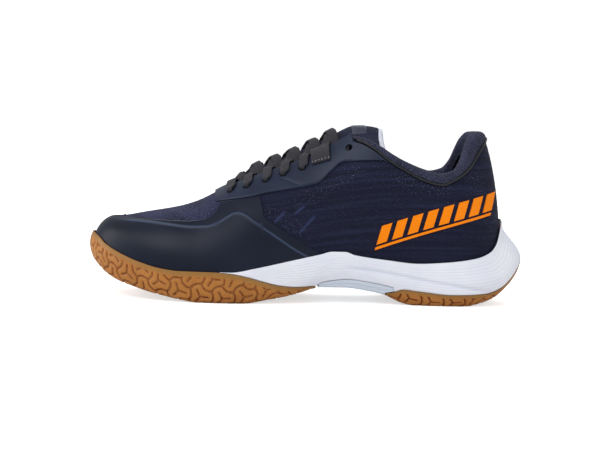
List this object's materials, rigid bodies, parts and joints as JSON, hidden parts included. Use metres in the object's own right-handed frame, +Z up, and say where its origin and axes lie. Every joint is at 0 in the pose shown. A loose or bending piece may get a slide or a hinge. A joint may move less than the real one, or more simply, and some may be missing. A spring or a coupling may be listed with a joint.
{
  "type": "court shoe",
  "caption": "Low-cut left court shoe with a mesh upper, film toe guard, laced padded tongue, white midsole and gum rubber outsoles.",
  "frame": {"origin": "on the floor, under the middle of the shoe's box", "axes": "+Z up, toe at -X and heel at +X, outer (lateral) side at -Y"},
  "size_m": [0.3022, 0.1004, 0.1225],
  "materials": {
    "gum_rubber": "smooth translucent gum",
    "pale_plastic": "satin",
    "white_foam": "matt moulded foam",
    "board": "stiffened non-woven",
    "insole_foam": "cloth-topped foam",
    "navy_mesh": "speckled knit mesh",
    "dark_mesh": "heathered engineered mesh",
    "lining": "spacer mesh",
    "grey_foam": "open-cell foam",
    "slate_knit": "textured knit",
    "black_trim": "woven",
    "navy_film": "matt film overlay",
    "lace_weave": "flat woven",
    "clear_plastic": "clear",
    "orange_print": "printed film"
  },
  "bodies": {
    "shoe": {"outsole_forefoot": "gum_rubber", "outsole_heel": "gum_rubber", "arch_shank": "pale_plastic", "midsole": "white_foam", "strobel_board": "board", "vamp_mesh": "navy_mesh", "quarter_mesh": "dark_mesh", "vamp_lining": "lining", "quarter_lining": "lining", "toe_puff": "board", "heel_counter": "board", "collar_foam": "grey_foam", "collar_knit": "slate_knit", "collar_piping": "black_trim", "toe_guard": "navy_film", "eyestay_lateral": "navy_film", "eyestay_medial": "navy_film", "eyestay_backing_lateral": "black_trim", "eyestay_backing_medial": "black_trim", "lace_tab_lateral": "black_trim", "lace_tab_medial": "black_trim", "lace": "lace_weave", "aglet_1": "clear_plastic", "aglet_2": "clear_plastic", "heel_graphic": "orange_print"},
    "tongue": {"tongue_face": "slate_knit", "tongue_foam": "grey_foam", "tongue_lining": "lining", "tongue_label": "orange_print"},
    "insole": {"insole": "insole_foam"}
  },
  "joints": [
    {"name": "tongue_fold", "type": "hinge", "parent": "shoe", "child": "tongue", "pos_m": [-0.0627, 0.0059, 0.07], "axis": [0, 1, 0], "range_deg": [0, 5], "stiffness_Nm_per_rad": 0.6},
    {"name": "insole_lift", "type": "hinge", "parent": "shoe", "child": "insole", "pos_m": [-0.1367, 0.0094, 0.027], "axis": [0, -1, 0], "range_deg": [0, 3]}
  ]
}
